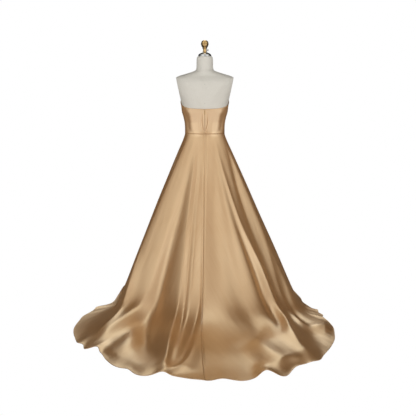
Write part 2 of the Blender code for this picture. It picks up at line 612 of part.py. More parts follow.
def join_curve(solid, curve_item):
    """Unites a solid with the welded mesh of a curve."""
    graph = bpy.context.evaluated_depsgraph_get()
    mesh = bpy.data.meshes.new_from_object(curve_item.evaluated_get(graph))
    shape = bmesh.new()
    shape.from_mesh(mesh)
    bmesh.ops.remove_doubles(shape, verts=shape.verts, dist=0.000001)
    bmesh.ops.recalc_face_normals(shape, faces=shape.faces)
    shape.to_mesh(mesh)
    shape.free()
    cutter = bpy.data.objects.new("join_" + solid.name, mesh)
    cutter.matrix_world = curve_item.matrix_world
    bpy.data.collections["joiners"].objects.link(cutter)
    cutter.hide_render = True
    cutter.display_type = "WIRE"
    bpy.data.objects.remove(curve_item, do_unlink=True)
    union = solid.modifiers.new("join", "BOOLEAN")
    union.operation, union.solver, union.object = "UNION", "EXACT", cutter


def make_pull(collection, metal, face, height):
    """The pull tab: a flat drop with an eye round the bail. Its origin is on its hinge's axis."""
    eye_drop, eye_half = 0.0038, 0.0011
    rim = 0.0007
    outline = []
    for a in range(0, 181, 20):
        turn = math.radians(a)
        outline.append((0.0018 * math.cos(turn), rim / 2 + 0.00015 * math.sin(turn)))
    low = -(PULL_LENGTH - PULL_WIDTH / 2)
    for a in range(180, 361, 15):
        turn = math.radians(a)
        outline.append((PULL_WIDTH / 2 * math.cos(turn), low + PULL_WIDTH / 2 * math.sin(turn)))
    eye = [(-eye_half, -rim / 2), (-eye_half, -eye_drop), (eye_half, -eye_drop), (eye_half, -rim / 2)]
    curve = bpy.data.curves.new("zip_pull", "CURVE")
    curve.dimensions = "2D"
    curve.fill_mode = "BOTH"
    curve.extrude = PULL_THICKNESS / 2
    for points in (outline, eye):
        line = curve.splines.new("POLY")
        line.points.add(len(points) - 1)
        line.use_cyclic_u = True
        for point, (x, z) in zip(line.points, points):
            point.co = (x, z, 0, 1)
    pull = bpy.data.objects.new("zip_pull", curve)
    collection.objects.link(pull)
    curve.materials.append(metal)
    pull.location = (0, face + 0.0008, height)
    pull.rotation_euler = (math.radians(90), 0, 0)


def main():
    clear_scene()
    parts = bpy.data.collections.new("evening_gown_on_dress_form")
    joiners = bpy.data.collections.new("joiners")
    bpy.context.scene.collection.children.link(parts)
    bpy.context.scene.collection.children.link(joiners)
    satin = material("gold_satin", (0.62, 0.42, 0.22), 0.35, 0.35)
    canvas = material("form_canvas", (0.62, 0.60, 0.54), 0.85, 0.0)
    chrome = material("cap_chrome", (0.72, 0.73, 0.74), 0.15, 1.0)
    brass = material("finial_brass", (0.62, 0.43, 0.19), 0.22, 1.0)
    steel = material("pole_steel", (0.55, 0.56, 0.57), 0.30, 1.0)
    iron = material("base_iron", (0.05, 0.05, 0.055), 0.55, 0.6)
    zip_metal = material("zip_enamel", (0.60, 0.40, 0.20), 0.40, 0.6)
    make_form(parts, canvas)
    make_bodice(parts, satin)
    make_skirt(parts, satin)
    make_stand(parts, steel, iron)
    make_top(parts, chrome, brass, steel)
    make_zip(parts, zip_metal)


main()
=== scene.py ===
"""The satin evening gown on its dress form, in the light and view of the photograph."""

import math

import bmesh
import bpy
import numpy as np
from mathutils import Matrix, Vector


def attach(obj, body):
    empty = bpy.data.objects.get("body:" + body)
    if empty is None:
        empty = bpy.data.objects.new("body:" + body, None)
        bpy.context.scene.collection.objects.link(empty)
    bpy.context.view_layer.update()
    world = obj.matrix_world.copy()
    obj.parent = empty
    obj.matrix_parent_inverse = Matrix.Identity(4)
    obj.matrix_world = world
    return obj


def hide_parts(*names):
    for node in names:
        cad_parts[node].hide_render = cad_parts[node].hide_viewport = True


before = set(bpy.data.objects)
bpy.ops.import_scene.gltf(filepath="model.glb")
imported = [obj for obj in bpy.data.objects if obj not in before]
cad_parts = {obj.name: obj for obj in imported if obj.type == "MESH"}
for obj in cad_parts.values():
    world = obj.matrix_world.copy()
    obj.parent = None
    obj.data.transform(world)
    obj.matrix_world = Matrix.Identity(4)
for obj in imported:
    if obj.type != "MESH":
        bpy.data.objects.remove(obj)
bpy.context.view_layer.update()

# sizes shared with the solids, but for the thinner shell of cloth and its closer seams
WAIST_HEIGHT = 1.100
CLOTH = 0.002
SHELL = 0.0013
HALF_GAP = 0.00012
EASE = 0.0025
SEAM_GAP = 0.0001
FLOOR_GAP = 0.0005
SIDE_SEAM = 90.0
BACK_SEAM_BOW = 1.2
NECK_TOP, HIP_HEIGHT, NECK_SEAM = 1.586, 0.840, 1.4975
SEAM_DIP, SEAM_HALF_WIDTH = 0.0004, 0.0016
WAIST_SEAM_SHARE = 0.4
WAIST_TURN = 0.008

FORM_SECTIONS = (
    # height, half_width, back, front, square
    (0.840, 0.158, 0.112, 0.100, 2.2),
    (0.900, 0.168, 0.118, 0.106, 2.2),
    (0.960, 0.163, 0.116, 0.104, 2.2),
    (1.020, 0.146, 0.106, 0.098, 2.2),
    (1.070, 0.128, 0.094, 0.091, 2.2),
    (1.100, 0.1225, 0.090, 0.088, 2.2),
    (1.130, 0.1222, 0.088, 0.088, 2.2),
    (1.165, 0.1244, 0.088, 0.092, 2.2),
    (1.200, 0.1310, 0.091, 0.099, 2.2),
    (1.240, 0.1420, 0.095, 0.108, 2.3),
    (1.280, 0.1470, 0.099, 0.110, 2.4),
    (1.320, 0.1600, 0.102, 0.104, 2.4),
    (1.370, 0.1790, 0.102, 0.092, 2.4),
    (1.420, 0.1900, 0.096, 0.078, 2.4),
    (1.446, 0.1900, 0.084, 0.066, 2.3),
    (1.460, 0.1720, 0.074, 0.058, 2.2),
    (1.474, 0.1280, 0.068, 0.053, 2.1),
    (1.488, 0.0830, 0.064, 0.051, 2.0),
    (1.500, 0.0570, 0.060, 0.049, 2.0),
    (1.520, 0.0530, 0.056, 0.046, 2.0),
    (1.560, 0.0520, 0.049, 0.044, 2.0),
    (1.578, 0.0500, 0.047, 0.043, 2.0),
    (1.586, 0.0430, 0.041, 0.038, 2.0),
)
ARM_CUT = ((1.300, 0.1510), (1.453, 0.1835))
BUST_HEIGHT, BUST_AZIMUTH, BUST_RISE = 1.262, 152.0, 0.020
BUST_HALF_HEIGHT, BUST_HALF_WIDTH = 0.050, 24.0
NECKLINE = ((0, 1.256), (30, 1.259), (60, 1.270), (90, 1.292), (125, 1.328), (155, 1.342), (180, 1.330))

PLAN_LEFT = (
    # azimuth, hem, knee, turn, hover
    (0, 1.335, 0.662, 0.160, 0.020),
    (8, 1.305, 0.660, 0.158, 0.020),
    (15, 1.307, 0.656, 0.150, 0.020),
    (20, 1.265, 0.652, 0.140, 0.019),
    (25, 1.208, 0.646, 0.130, 0.018),
    (29, 1.150, 0.642, 0.122, 0.016),
    (36, 1.135, 0.644, 0.105, 0.014),
    (44, 1.064, 0.660, 0.085, 0.012),
    (50, 1.000, 0.674, 0.068, 0.008),
    (54, 0.945, 0.676, 0.058, 0.006),
    (58, 0.890, 0.650, 0.048, 0.006),
    (62, 0.835, 0.618, 0.040, 0.005),
    (68, 0.750, 0.582, 0.032, 0.005),
    (76, 0.626, 0.568, 0.024, 0.004),
    (82, 0.602, 0.566, 0.020, 0.004),
    (90, 0.590, 0.560, 0.020, 0.004),
    (120, 0.540, 0.535, 0.018, 0.004),
    (150, 0.485, 0.485, 0.016, 0.004),
    (180, 0.460, 0.460, 0.016, 0.004),
)
PLAN_RIGHT = (
    # azimuth, hem, knee, turn, hover
    (0, 1.335, 0.662, 0.160, 0.020),
    (8, 1.346, 0.664, 0.158, 0.020),
    (15, 1.337, 0.668, 0.152, 0.020),
    (21, 1.285, 0.668, 0.144, 0.019),
    (27, 1.247, 0.664, 0.134, 0.018),
    (36, 1.155, 0.648, 0.110, 0.015),
    (46, 1.034, 0.646, 0.086, 0.012),
    (54, 0.925, 0.664, 0.066, 0.006),
    (61, 0.822, 0.672, 0.050, 0.006),
    (66, 0.762, 0.658, 0.044, 0.006),
    (70, 0.712, 0.646, 0.042, 0.006),
    (76, 0.660, 0.626, 0.038, 0.005),
    (83, 0.646, 0.612, 0.034, 0.005),
    (90, 0.630, 0.596, 0.030, 0.005),
    (120, 0.545, 0.540, 0.018, 0.004),
    (150, 0.486, 0.486, 0.016, 0.004),
    (180, 0.460, 0.460, 0.016, 0.004),
)
FOLD_STATIONS = (0.0, 0.22, 0.42, 0.60, 0.78, 0.92, 1.0)
SKIRT_FOLDS = (
    # azimuths and rises in mm at the stations, half widths left, left low, right and right low, crispness
    ((56, 55.5, 53.5, 44.5, 38.5, 36.8, 36.5), (2, 10, 18, 48, 34, 8, 0), 5.0, 9.0, 12.0, 4.0, 1.4),
    ((41, 41, 41, 41.5, 39, 39, 39), (0, 0, 0, -10, -4, 0, 0), 5.0, 4.0, 5.0, 4.0, 2.0),
    ((38, 37, 36, 36.4, 35.5, 34, 36), (0, 2, 8, 24, 18, 6, 0), 8.0, 3.5, 5.0, 3.5, 1.7),
    ((29, 29.5, 29.5, 30, 29.8, 31, 33), (0, 0, -3, -4, -2, 0, 0), 3.0, 2.5, 3.0, 2.5, 2.0),
    ((25, 25, 25, 25, 24, 26, 29), (0, 0, 0, 2, 14, 10, 0), 3.0, 4.0, 3.0, 3.0, 2.0),
    ((24, 26, 28.5, 25.5, 17.5, 12, 9.5), (-1, -12, -25, -36, -32, -12, 0), 6.5, 6.5, 7.0, 5.5, 2.0),
    ((18, 15.3, 12.9, 11.7, 10.4, 9.5, 9.2), (1, 8, 21, 34, 40, 34, 6), 5.5, 7.5, 2.2, 1.8, 1.4),
    ((11.6, 11.5, 10.5, 9.5, 8.9, 8.6, 9), (0, -3, -7, -7, -5, -3, 0), 1.8, 1.0, 1.8, 1.0, 2.0),
    ((5.6, 7.5, 7.8, 8.0, 7.6, 7.4, 7.6), (0, 4, 8, 9, 10, 8, 0), 2.2, 1.5, 2.2, 1.9, 1.9),
    ((2, 1.9, 2.6, 4.6, 5.4, 5.6, 6), (0, -5, -12, -13, -5, -2, 0), 2.2, 1.5, 1.5, 1.5, 1.8),
    ((2, 2, 2.8, 2.6, 3.3, 5.3, 8.5), (0, 0, 0, 3, 17, 20, 4), 1.6, 1.5, 1.8, 2.8, 1.7),
    ((-9, -9, -9, -9, -9, -9, -9), (0, 3, 5, 4, 3, 0, 0), 8.0, 8.0, 8.0, 8.0, 2.0),
    ((-15, -15.3, -17.7, -20.5, -11.5, -12, -12), (0, -4, -6, -2, -8, -8, -2), 6.0, 4.0, 4.5, 3.0, 2.0),
    ((-16, -16, -16, -16, -16.2, -18.6, -24), (0, 0, 0, 2, 22, 28, 4), 3.0, 4.5, 3.0, 4.0, 1.7),
    ((-22, -24.5, -28.5, -27.5, -23.5, -22, -22), (0, 5, 12, 14, 6, 0, 0), 6.0, 5.0, 4.5, 4.0, 2.0),
    ((-23, -28.5, -35.7, -32, -25, -23.5, -24), (0, -4, -10, -8, -3, 0, 0), 3.0, 2.4, 3.0, 2.4, 2.0),
    ((-26.5, -32.5, -40.6, -36.8, -29, -26.6, -26.8), (1, 9, 22, 40, 48, 38, 4), 4.0, 7.0, 4.0, 4.0, 1.3),
    ((-59, -48.5, -51.5, -55, -44, -37, -34), (-1, -12, -16, -12, -16, -6, 0), 6.0, 6.0, 9.0, 6.0, 2.0),
    ((-62, -62, -60, -50, -42, -47, -49), (1, 4, 4, 6, 24, 24, 0), 7.0, 3.0, 6.0, 4.0, 1.8),
    ((-76, -80, -80, -78, -72, -70, -70), (3, 8, 12, 14, 8, 4, 0), 9.0, 9.0, 9.0, 9.0, 2.0),
    ((84, 86, 88, 88, 88, 88, 88), (-3, -9, -12, -12, -8, -4, 0), 7.0, 7.0, 7.0, 7.0, 2.0),
    ((104, 104, 103, 103, 103, 103, 103), (4, 14, 22, 26, 30, 30, 30), 8.0, 8.0, 8.0, 8.0, 1.8),
    ((122, 123, 124, 124, 124, 124, 124), (-3, -12, -22, -26, -28, -29, -30), 8.0, 8.0, 8.0, 8.0, 2.0),
    ((141, 142, 143, 143, 143, 143, 143), (3, 14, 24, 28, 30, 31, 32), 8.0, 8.0, 8.0, 8.0, 1.8),
    ((160, 161, 162, 162, 162, 162, 162), (-3, -11, -20, -24, -26, -27, -28), 8.0, 8.0, 8.0, 8.0, 2.0),
    ((181, 180, 179, 179, 179, 179, 179), (3, 11, 18, 22, 26, 27, 28), 8.0, 8.0, 8.0, 8.0, 1.8),
    ((201, 200, 199, 199, 199, 199, 199), (-3, -12, -22, -26, -28, -29, -30), 8.0, 8.0, 8.0, 8.0, 2.0),
    ((219, 219, 218, 218, 218, 218, 218), (3, 14, 24, 28, 32, 33, 34), 8.0, 8.0, 8.0, 8.0, 1.8),
    ((238, 238, 237, 237, 237, 237, 237), (-3, -12, -22, -26, -26, -27, -28), 8.0, 8.0, 8.0, 8.0, 2.0),
    ((256, 256, 257, 257, 257, 257, 257), (4, 14, 21, 24, 26, 26, 26), 8.0, 8.0, 8.0, 8.0, 1.8),
    ((272, 272, 274, 274, 274, 274, 274), (-3, -11, -16, -18, -12, -4, 0), 7.0, 7.0, 7.0, 7.0, 2.0),
)
HEM_WAVES = (
    # azimuth, half_width, out, lift
    (70.0, 2.0, 0.020, 0.006),
    (64, 1.8, -0.010, 0.004),
    (60, 2.4, 0.006, 0.003),
    (38.5, 1.6, 0.006, 0.006),
    (36.8, 1.6, -0.016, 0.004),
    (33.6, 1.6, 0.022, 0.004),
    (31.4, 1.7, -0.030, 0.016),
    (21.5, 2.6, 0.012, 0.004),
    (17.5, 1.6, -0.016, 0.003),
    (13.2, 2.2, 0.028, 0.004),
    (9.3, 1.6, -0.010, 0.012),
    (3.4, 1.8, 0.004, 0.003),
    (-0.9, 1.3, 0.014, 0.004),
    (-3.9, 1.8, -0.010, 0.006),
    (-7.8, 2.0, 0.018, 0.006),
    (-13.2, 2.2, -0.022, 0.034),
    (-16.6, 2.4, 0.036, 0.004),
    (-21.5, 1.8, -0.006, 0.004),
    (-25.8, 1.3, 0.002, 0.004),
    (-28.0, 2.2, 0.022, 0.004),
    (-42.0, 3.0, 0.004, 0.003),
    (-50.0, 3.0, 0.004, 0.003),
    (-57.4, 1.4, -0.018, 0.008),
    (-60.5, 1.8, 0.008, 0.006),
    (-65.0, 1.5, 0.012, 0.010),
)
HEM_WAVE_LENGTH = 0.16
PLACKET_FOOT, PLACKET_RISE, PLACKET_AT, PLACKET_HALF = 0.115, 0.0022, 0.0085, 0.0045
HOLLOW_DEPTH, HOLLOW_AT, HOLLOW_HALF = 0.0018, 0.036, 0.017
ALLOWANCE_RISE, ALLOWANCE_AT, ALLOWANCE_HALF = 0.0018, 0.0062, 0.0036
ALLOWANCE_TOP, ALLOWANCE_FOOT = 0.05, 0.52
LEAST_RISE_BEND = 0.004


def smooth_table(x, xs, ys):
    """Values between a table's rows, on a smooth curve that doesn't overshoot them."""
    xs, ys, x = np.asarray(xs, float), np.asarray(ys, float), np.asarray(x, float)
    slope = np.diff(ys) / np.diff(xs)
    bend = np.zeros_like(ys)
    same = slope[:-1] * slope[1:] > 0
    bend[1:-1][same] = 2 * slope[:-1][same] * slope[1:][same] / (slope[:-1] + slope[1:])[same]
    k = np.clip(np.searchsorted(xs, x, side="right") - 1, 0, len(xs) - 2)
    step = xs[k + 1] - xs[k]
    t = np.clip((x - xs[k]) / step, 0, 1)
    return (
        (2 * t**3 - 3 * t**2 + 1) * ys[k]
        + (t**3 - 2 * t**2 + t) * step * bend[k]
        + (3 * t**2 - 2 * t**3) * ys[k + 1]
        + (t**3 - t**2) * step * bend[k + 1]
    )


def column(table, index):
    return [row[index] for row in table]


def from_back(azimuth):
    return np.abs((np.asarray(azimuth, float) + 180) % 360 - 180)


def around(azimuth, centre):
    return (azimuth - centre + 180) % 360 - 180


def ramp(x, start, end):
    t = np.clip((x - start) / (end - start), 0, 1)
    return t * t * (3 - 2 * t)


def bump(x, centre, half):
    return np.exp(-(((x - centre) / half) ** 2))


# the form's surface
def form_point(azimuth, height):
    turn = np.radians(azimuth)
    heights = column(FORM_SECTIONS, 0)
    width, back, front, square = (
        smooth_table(height, heights, column(FORM_SECTIONS, k)) for k in (1, 2, 3, 4)
    )
    depth = np.where(np.cos(turn) > 0, back, front)
    side = np.sign(np.sin(turn)) * np.abs(np.sin(turn)) ** (2 / square)
    ahead = np.sign(np.cos(turn)) * np.abs(np.cos(turn)) ** (2 / square)
    point = np.stack([width * side, depth * ahead, height + 0 * turn], -1)
    level = bump(height, BUST_HEIGHT, BUST_HALF_HEIGHT)
    for centre in (BUST_AZIMUTH, -BUST_AZIMUTH):
        cup = BUST_RISE * level * bump(around(azimuth, centre), 0.0, BUST_HALF_WIDTH)
        point[..., 0] += cup * np.sin(turn)
        point[..., 1] += cup * np.cos(turn)
    (low, narrow), (high, wide) = ARM_CUT
    cut = narrow + (wide - narrow) * (height - low) / (high - low)
    armhole = np.clip(point[..., 0], -cut, cut)
    point[..., 0] = np.where(height > low, armhole, point[..., 0])
    return point


def outward(surface, a, b, step_a, step_b):
    """The unit normal of a surface at its two coordinates, from points a small step to each side."""
    along_a = surface(a + step_a, b) - surface(a - step_a, b)
    along_b = surface(a, b + step_b) - surface(a, b - step_b)
    normal = np.cross(along_a, along_b)
    return normal / np.linalg.norm(normal, axis=-1, keepdims=True)


def form_normal(azimuth, height):
    return -outward(form_point, azimuth, height, 0.5, 0.002)


# the bodice: its top edge, the lens over the zip and the soft drag lines beside it
BODICE_CREASES = (
    # azimuth above, azimuth below, upper height, lower height, rise in mm, half width in degrees
    (39.0, 37.0, 1.262, 1.104, 2.6, 8.0),
    (-41.0, -36.0, 1.262, 1.104, 2.4, 8.0),
    (60.0, 52.0, 1.262, 1.106, -1.8, 7.0),
    (-62.0, -51.0, 1.262, 1.106, -1.8, 7.0),
    (16.0, 12.0, 1.225, 1.102, -0.5, 3.5),
    (-17.0, -13.0, 1.220, 1.102, -0.5, 3.5),
    (74.0, 80.0, 1.190, 1.102, 0.8, 4.5),
    (-76.0, -81.0, 1.180, 1.102, 0.7, 4.5),
    (112.0, 118.0, 1.230, 1.104, 1.1, 6.0),
    (-113.0, -119.0, 1.225, 1.104, 1.0, 6.0),
    (133.0, 148.0, 1.215, 1.104, -0.9, 5.0),
    (-134.0, -149.0, 1.210, 1.104, -0.9, 5.0),
    (168.0, 172.0, 1.200, 1.103, 0.7, 4.0),
    (-170.0, -173.0, 1.190, 1.103, 0.6, 4.0),
)
LENS_TOP, LENS_FOOT, LENS_HALF_WIDTH = 1.246, 1.113, 7.0
LENS_RISE, LENS_GROOVE, GROOVE_OFFSET, GROOVE_HALF = 0.0055, 0.0028, 0.6, 1.7
BODICE_RADIUS = 0.105


def bodice_top(azimuth):
    return smooth_table(from_back(azimuth), column(NECKLINE, 0), column(NECKLINE, 1))


def bodice_relief(azimuth, height):
    """The zip's lens between its two grooves, the drag lines, and the pressed seams."""
    off = around(azimuth, 0.0)
    share = np.clip((height - LENS_FOOT) / (LENS_TOP - LENS_FOOT), 0, 1)
    half = LENS_HALF_WIDTH * np.sin(np.pi * share) ** 0.75 + 0.05
    along = np.sin(np.pi * share) ** 0.5
    lens = LENS_RISE * np.clip(1 - (off / half) ** 2, 0, 1)
    groove = LENS_GROOVE * bump(np.abs(off), half + GROOVE_OFFSET, GROOVE_HALF)
    relief = (lens - groove) * along
    for above, below, high, low, rise, width in BODICE_CREASES:
        centre = below + (above - below) * (height - low) / (high - low)
        fade = ramp(height, low, low + 0.030) * (1 - ramp(height, high - 0.035, high))
        relief = relief + rise / 1000 * fade * bump(around(azimuth, centre), 0.0, width)
    for seam in (0.0, SIDE_SEAM, -SIDE_SEAM):
        aside = np.radians(np.abs(around(azimuth, seam))) * BODICE_RADIUS
        relief = relief - SEAM_DIP * bump(aside, 0.0, SEAM_HALF_WIDTH)
    return relief - WAIST_SEAM_SHARE * SEAM_DIP * bump(height, WAIST_HEIGHT, SEAM_HALF_WIDTH)


def bodice_point(azimuth, height, out):
    rise = out + bodice_relief(azimuth, height)
    return form_point(azimuth, height) + form_normal(azimuth, height) * rise[..., None]


# the skirt
def waist_point(azimuth):
    level = np.full(np.shape(azimuth), WAIST_HEIGHT - SEAM_GAP)
    return form_point(azimuth, level) + form_normal(azimuth, level) * (EASE + CLOTH)


def hem_wave(azimuth, index):
    return sum(row[index] * bump(around(azimuth, row[0]), 0.0, row[1]) for row in HEM_WAVES)


def plan_value(azimuth, index):
    off = from_back(azimuth)
    left, right = (
        smooth_table(off, column(plan, 0), column(plan, index)) for plan in (PLAN_LEFT, PLAN_RIGHT)
    )
    return np.where(around(azimuth, 0) >= 0, left, right)


def skirt_base(azimuth, down):
    """The skirt without its folds: a cone from the waist that turns softly onto the floor behind."""
    turn = np.radians(azimuth)
    hem, knee, softness, hover = (plan_value(azimuth, k) for k in (1, 2, 3, 4))
    waist = waist_point(azimuth)
    total = hem - np.hypot(waist[..., 0], waist[..., 1])
    near_hem = ramp(down, 1 - HEM_WAVE_LENGTH / total, 1.0)
    hem = hem + hem_wave(azimuth, 2) * near_hem
    end = np.stack([hem * np.sin(turn), hem * np.cos(turn)], -1)
    spread = down - WAIST_TURN * (1 - np.exp(-down / WAIST_TURN))
    plan = waist[..., :2] + (end - waist[..., :2]) * spread[..., None]
    run = down * np.linalg.norm(end - waist[..., :2], axis=-1)
    reach = knee - np.hypot(waist[..., 0], waist[..., 1])
    slope = (WAIST_HEIGHT - SEAM_GAP) * (1 - run / reach)
    floor = (hover + CLOTH) * (1 - ramp(down, 1 - 0.30 / total, 1.0)) + CLOTH + FLOOR_GAP
    floor = floor + hem_wave(azimuth, 3) * near_hem
    height = (slope + floor + np.sqrt((slope - floor) ** 2 + 4 * softness**2)) / 2
    height = height - softness**2 / WAIST_HEIGHT
    height = np.where(down <= 0, WAIST_HEIGHT - SEAM_GAP, height)
    return np.concatenate([plan, height[..., None]], -1)


def fold_rise(azimuth, down):
    rise = 0.0
    low = ramp(down, 0.35, 0.80)
    for azimuths, rises, left, left_low, right, right_low, crisp in SKIRT_FOLDS:
        centre = smooth_table(down, FOLD_STATIONS, azimuths)
        depth = smooth_table(down, FOLD_STATIONS, rises) / 1000
        off = around(azimuth, centre)
        width = np.where(off > 0, left + (left_low - left) * low, right + (right_low - right) * low)
        rise = rise + depth * np.exp(-((np.abs(off) / width) ** crisp))
    return rise * ramp(down, 0.0, 0.10)


def skirt_relief(azimuth, down, radius):
    """Small forms of the cloth itself: pressed seams, and the zip's placket with its two soft ridges."""
    aside = np.radians(np.abs(around(azimuth, seam_azimuth(down)))) * radius
    relief = -SEAM_DIP * bump(aside, 0.0, SEAM_HALF_WIDTH)
    placket = ramp(down, 0.0, 0.012) * (1 - ramp(down, PLACKET_FOOT - 0.03, PLACKET_FOOT + 0.02))
    relief = relief + placket * PLACKET_RISE * bump(aside, PLACKET_AT, PLACKET_HALF)
    allowance = ramp(down, ALLOWANCE_TOP, 2 * ALLOWANCE_TOP) * (1 - ramp(down, 0.40, ALLOWANCE_FOOT))
    relief = relief + allowance * ALLOWANCE_RISE * bump(aside, ALLOWANCE_AT, ALLOWANCE_HALF)
    hollow = ramp(down, 0.0, 0.03) * (1 - ramp(down, PLACKET_FOOT, PLACKET_FOOT + 0.13))
    relief = relief - hollow * HOLLOW_DEPTH * bump(aside, HOLLOW_AT, HOLLOW_HALF)
    for seam in (SIDE_SEAM, -SIDE_SEAM):
        relief = relief - SEAM_DIP * bump(np.radians(around(azimuth, seam)) * radius, 0.0, SEAM_HALF_WIDTH)
    return relief - WAIST_SEAM_SHARE * SEAM_DIP * bump(down, 0.0, SEAM_HALF_WIDTH)


def skirt_point(azimuth, down):
    """A point of the skirt's outer face, at a share of the way down from the waist to the hem."""
    base = skirt_base(azimuth, down)
    lift = fold_rise(azimuth, down) + skirt_relief(azimuth, down, np.hypot(base[..., 0], base[..., 1]))
    out = outward(skirt_base, azimuth, down, 0.4, 0.004)
    point = base + out * lift[..., None]
    lowest = CLOTH + FLOOR_GAP
    above = point[..., 2] - lowest
    point[..., 2] = lowest + 0.5 * (above + np.sqrt(above**2 + LEAST_RISE_BEND**2))
    return point


def seam_azimuth(down):
    return BACK_SEAM_BOW * np.sin(np.pi * np.clip(down, 0, 1))


# finishes
class Net:
    """A node tree and one output socket in it. Arithmetic on it adds Math nodes to the tree."""

    def __init__(self, tree, socket=None):
        self.tree = tree
        self.socket = socket

    def node(self, kind, settings=(), sockets=(), out=0):
        """Adds a node: its type, its settings, and the values or links of its sockets."""
        made = self.tree.nodes.new("ShaderNode" + kind)
        for name, value in dict(settings).items():
            setattr(made, name, value)
        for name, value in dict(sockets).items():
            if isinstance(value, Net):
                self.tree.links.new(value.socket, made.inputs[name])
            else:
                made.inputs[name].default_value = value
        return Net(self.tree, made.outputs[out] if made.outputs else None)

    def math(self, operation, *values):
        return self.node("Math", {"operation": operation}, dict(enumerate(values)))

    def __add__(self, other):
        return self.math("ADD", self, other)

    __radd__ = __add__

    def __sub__(self, other):
        return self.math("SUBTRACT", self, other)

    def __rsub__(self, other):
        return self.math("SUBTRACT", other, self)

    def __mul__(self, other):
        return self.math("MULTIPLY", self, other)

    __rmul__ = __mul__

    def __abs__(self):
        return self.math("ABSOLUTE", self)

    def sine(self):
        return self.math("SINE", self)

    def larger(self, other):
        return self.math("MAXIMUM", self, other)

    def between(self, low, high, start=0.0, end=1.0):
        """Runs smoothly from start to end while the value goes from low to high."""
        ends = {"Value": self, "From Min": low, "From Max": high, "To Min": start, "To Max": end}
        return self.node("MapRange", {"interpolation_type": "SMOOTHSTEP"}, ends)


def tint(net, share, first, second):
    """A colour between two, each a triple or a socket."""
    ends = [value if isinstance(value, Net) else (*value, 1.0) for value in (first, second)]
    return net.node("Mix", {"data_type": "RGBA"}, {0: share, 6: ends[0], 7: ends[1]}, out=2)


def noise(net, place, scale, detail=2.0):
    return net.node("TexNoise", (), {"Vector": place, "Scale": scale, "Detail": detail})


def bent(net, height, distance):
    return net.node("Bump", (), {"Height": height, "Distance": distance}, out="Normal")


def axes(net, place):
    split = net.node("SeparateXYZ", (), {0: place})
    return [Net(net.tree, split.socket.node.outputs[k]) for k in range(3)]


def joined(net, x, y, z=0.0):
    return net.node("CombineXYZ", (), {0: x, 1: y, 2: z})


def finish(name, make):
    """A material whose surface shader is what make(net) returns."""
    made = bpy.data.materials.new(name)
    made.use_nodes = True
    made.node_tree.nodes.clear()
    net = Net(made.node_tree)
    net.node("OutputMaterial", (), {"Surface": make(net)})
    return made


def shader(net, colour, roughness, metallic, normal, **constants):
    sockets = {"Base Color": colour if isinstance(colour, Net) else (*colour, 1.0),
               "Roughness": roughness, "Metallic": metallic, "Normal": normal}
    sockets.update({name.replace("_", " "): value for name, value in constants.items()})
    return net.node("BsdfPrincipled", (), sockets)


# duchess satin: a dull deep gold ground under long champagne floats, with lengths in metres on the cloth
GOLD, DEEP_GOLD = (0.62, 0.31, 0.125), (0.54, 0.245, 0.085)
CHAMPAGNE, WARM_CHAMPAGNE = (0.96, 0.82, 0.60), (0.95, 0.76, 0.52)
SHINE, SHINE_ROUGHNESS, GROUND_ROUGHNESS, GROUND_SPECULAR = 0.42, 0.36, 0.85, 0.2
HEM_DUST = (0.30, 0.26, 0.21)
WARP_PITCH, WEFT_PITCH, FLOAT_LENGTH, FLOAT_GAP = 0.00016, 0.00024, 0.0016, 0.00002
THREAD_DEPTH, DRAPE_DEPTH, PUCKER_DEPTH, STITCH_DEPTH = 0.00006, 0.0016, 0.0010, 0.0002


def satin(net):
    place = net.node("UVMap", {"uv_map": "cloth"})
    across, along, _ = axes(net, place)
    to_seam = net.node("Attribute", {"attribute_name": "to_seam"}, out="Fac")
    to_hem = net.node("Attribute", {"attribute_name": "to_hem"}, out="Fac")
    floats = net.node("TexBrick", {"offset": 0.375, "offset_frequency": 1}, {
        "Vector": joined(net, along, across), "Scale": 1.0, "Mortar Size": FLOAT_GAP, "Mortar Smooth": 1.0,
        "Brick Width": FLOAT_LENGTH, "Row Height": WARP_PITCH}, out="Fac")
    picks = (along * (math.tau / WEFT_PITCH)).sine()
    streaks = noise(net, joined(net, across * 420.0, along * 5.0), 1.0, 3.0)
    slubs = noise(net, joined(net, across * 24.0, along * 900.0), 1.0, 1.0).between(0.66, 0.78)
    clouds = noise(net, place, 5.0, 2.0)
    drape = noise(net, joined(net, across * 16.0, along * 4.5), 1.0, 1.0)
    pucker = noise(net, joined(net, across * 20.0, along * 62.0), 1.0, 1.0)
    near_seam = to_seam.between(0.001, 0.016, 1.0, 0.0)
    # A band within 1.8 mm of each seam: a real groove in the bump, and painted shade of that groove in the
    # colour and the shine.
    seam_groove_and_shade = to_seam.between(0.0006, 0.0018, 1.0, 0.0)
    hem_wear = to_hem.between(0.001, 0.010, 1.0, 0.0)
    dust = hem_wear * noise(net, place, 260.0, 2.0).between(0.45, 0.65)
    deep = clouds.between(0.35, 0.70, 0.0, 0.45) + streaks.between(0.40, 0.68, 0.0, 0.35)
    # painted seam shade: the seam band darkens the gold ground and the champagne floats
    deep = (deep + seam_groove_and_shade * 0.18 + slubs * 0.3).between(0.0, 1.4, 0.0, 1.4)
    ground = tint(net, deep, GOLD, DEEP_GOLD)
    ground = tint(net, dust * 0.35, ground, HEM_DUST)
    sheen = tint(net, deep * 0.8, CHAMPAGNE, WARM_CHAMPAGNE)
    height = (floats * -0.10 + picks * 0.03 + streaks * 0.10 + slubs * 0.20) * THREAD_DEPTH
    height = height + drape * DRAPE_DEPTH + near_seam * pucker * PUCKER_DEPTH - seam_groove_and_shade * STITCH_DEPTH
    normal = bent(net, height, 1.0)
    gloss = streaks.between(0.3, 0.7, SHINE_ROUGHNESS - 0.015, SHINE_ROUGHNESS + 0.02) + hem_wear * 0.06
    dull = shader(net, ground, GROUND_ROUGHNESS, 0.0, normal, Specular_IOR_Level=GROUND_SPECULAR)
    bright = shader(net, sheen, gloss, 1.0, normal)
    # painted seam shade: a little less shine along each seam
    share = streaks.between(0.25, 0.75, SHINE + 0.012, SHINE - 0.012) - dust * 0.10 - seam_groove_and_shade * 0.02
    return net.node("MixShader", (), {0: share, 1: dull, 2: bright})


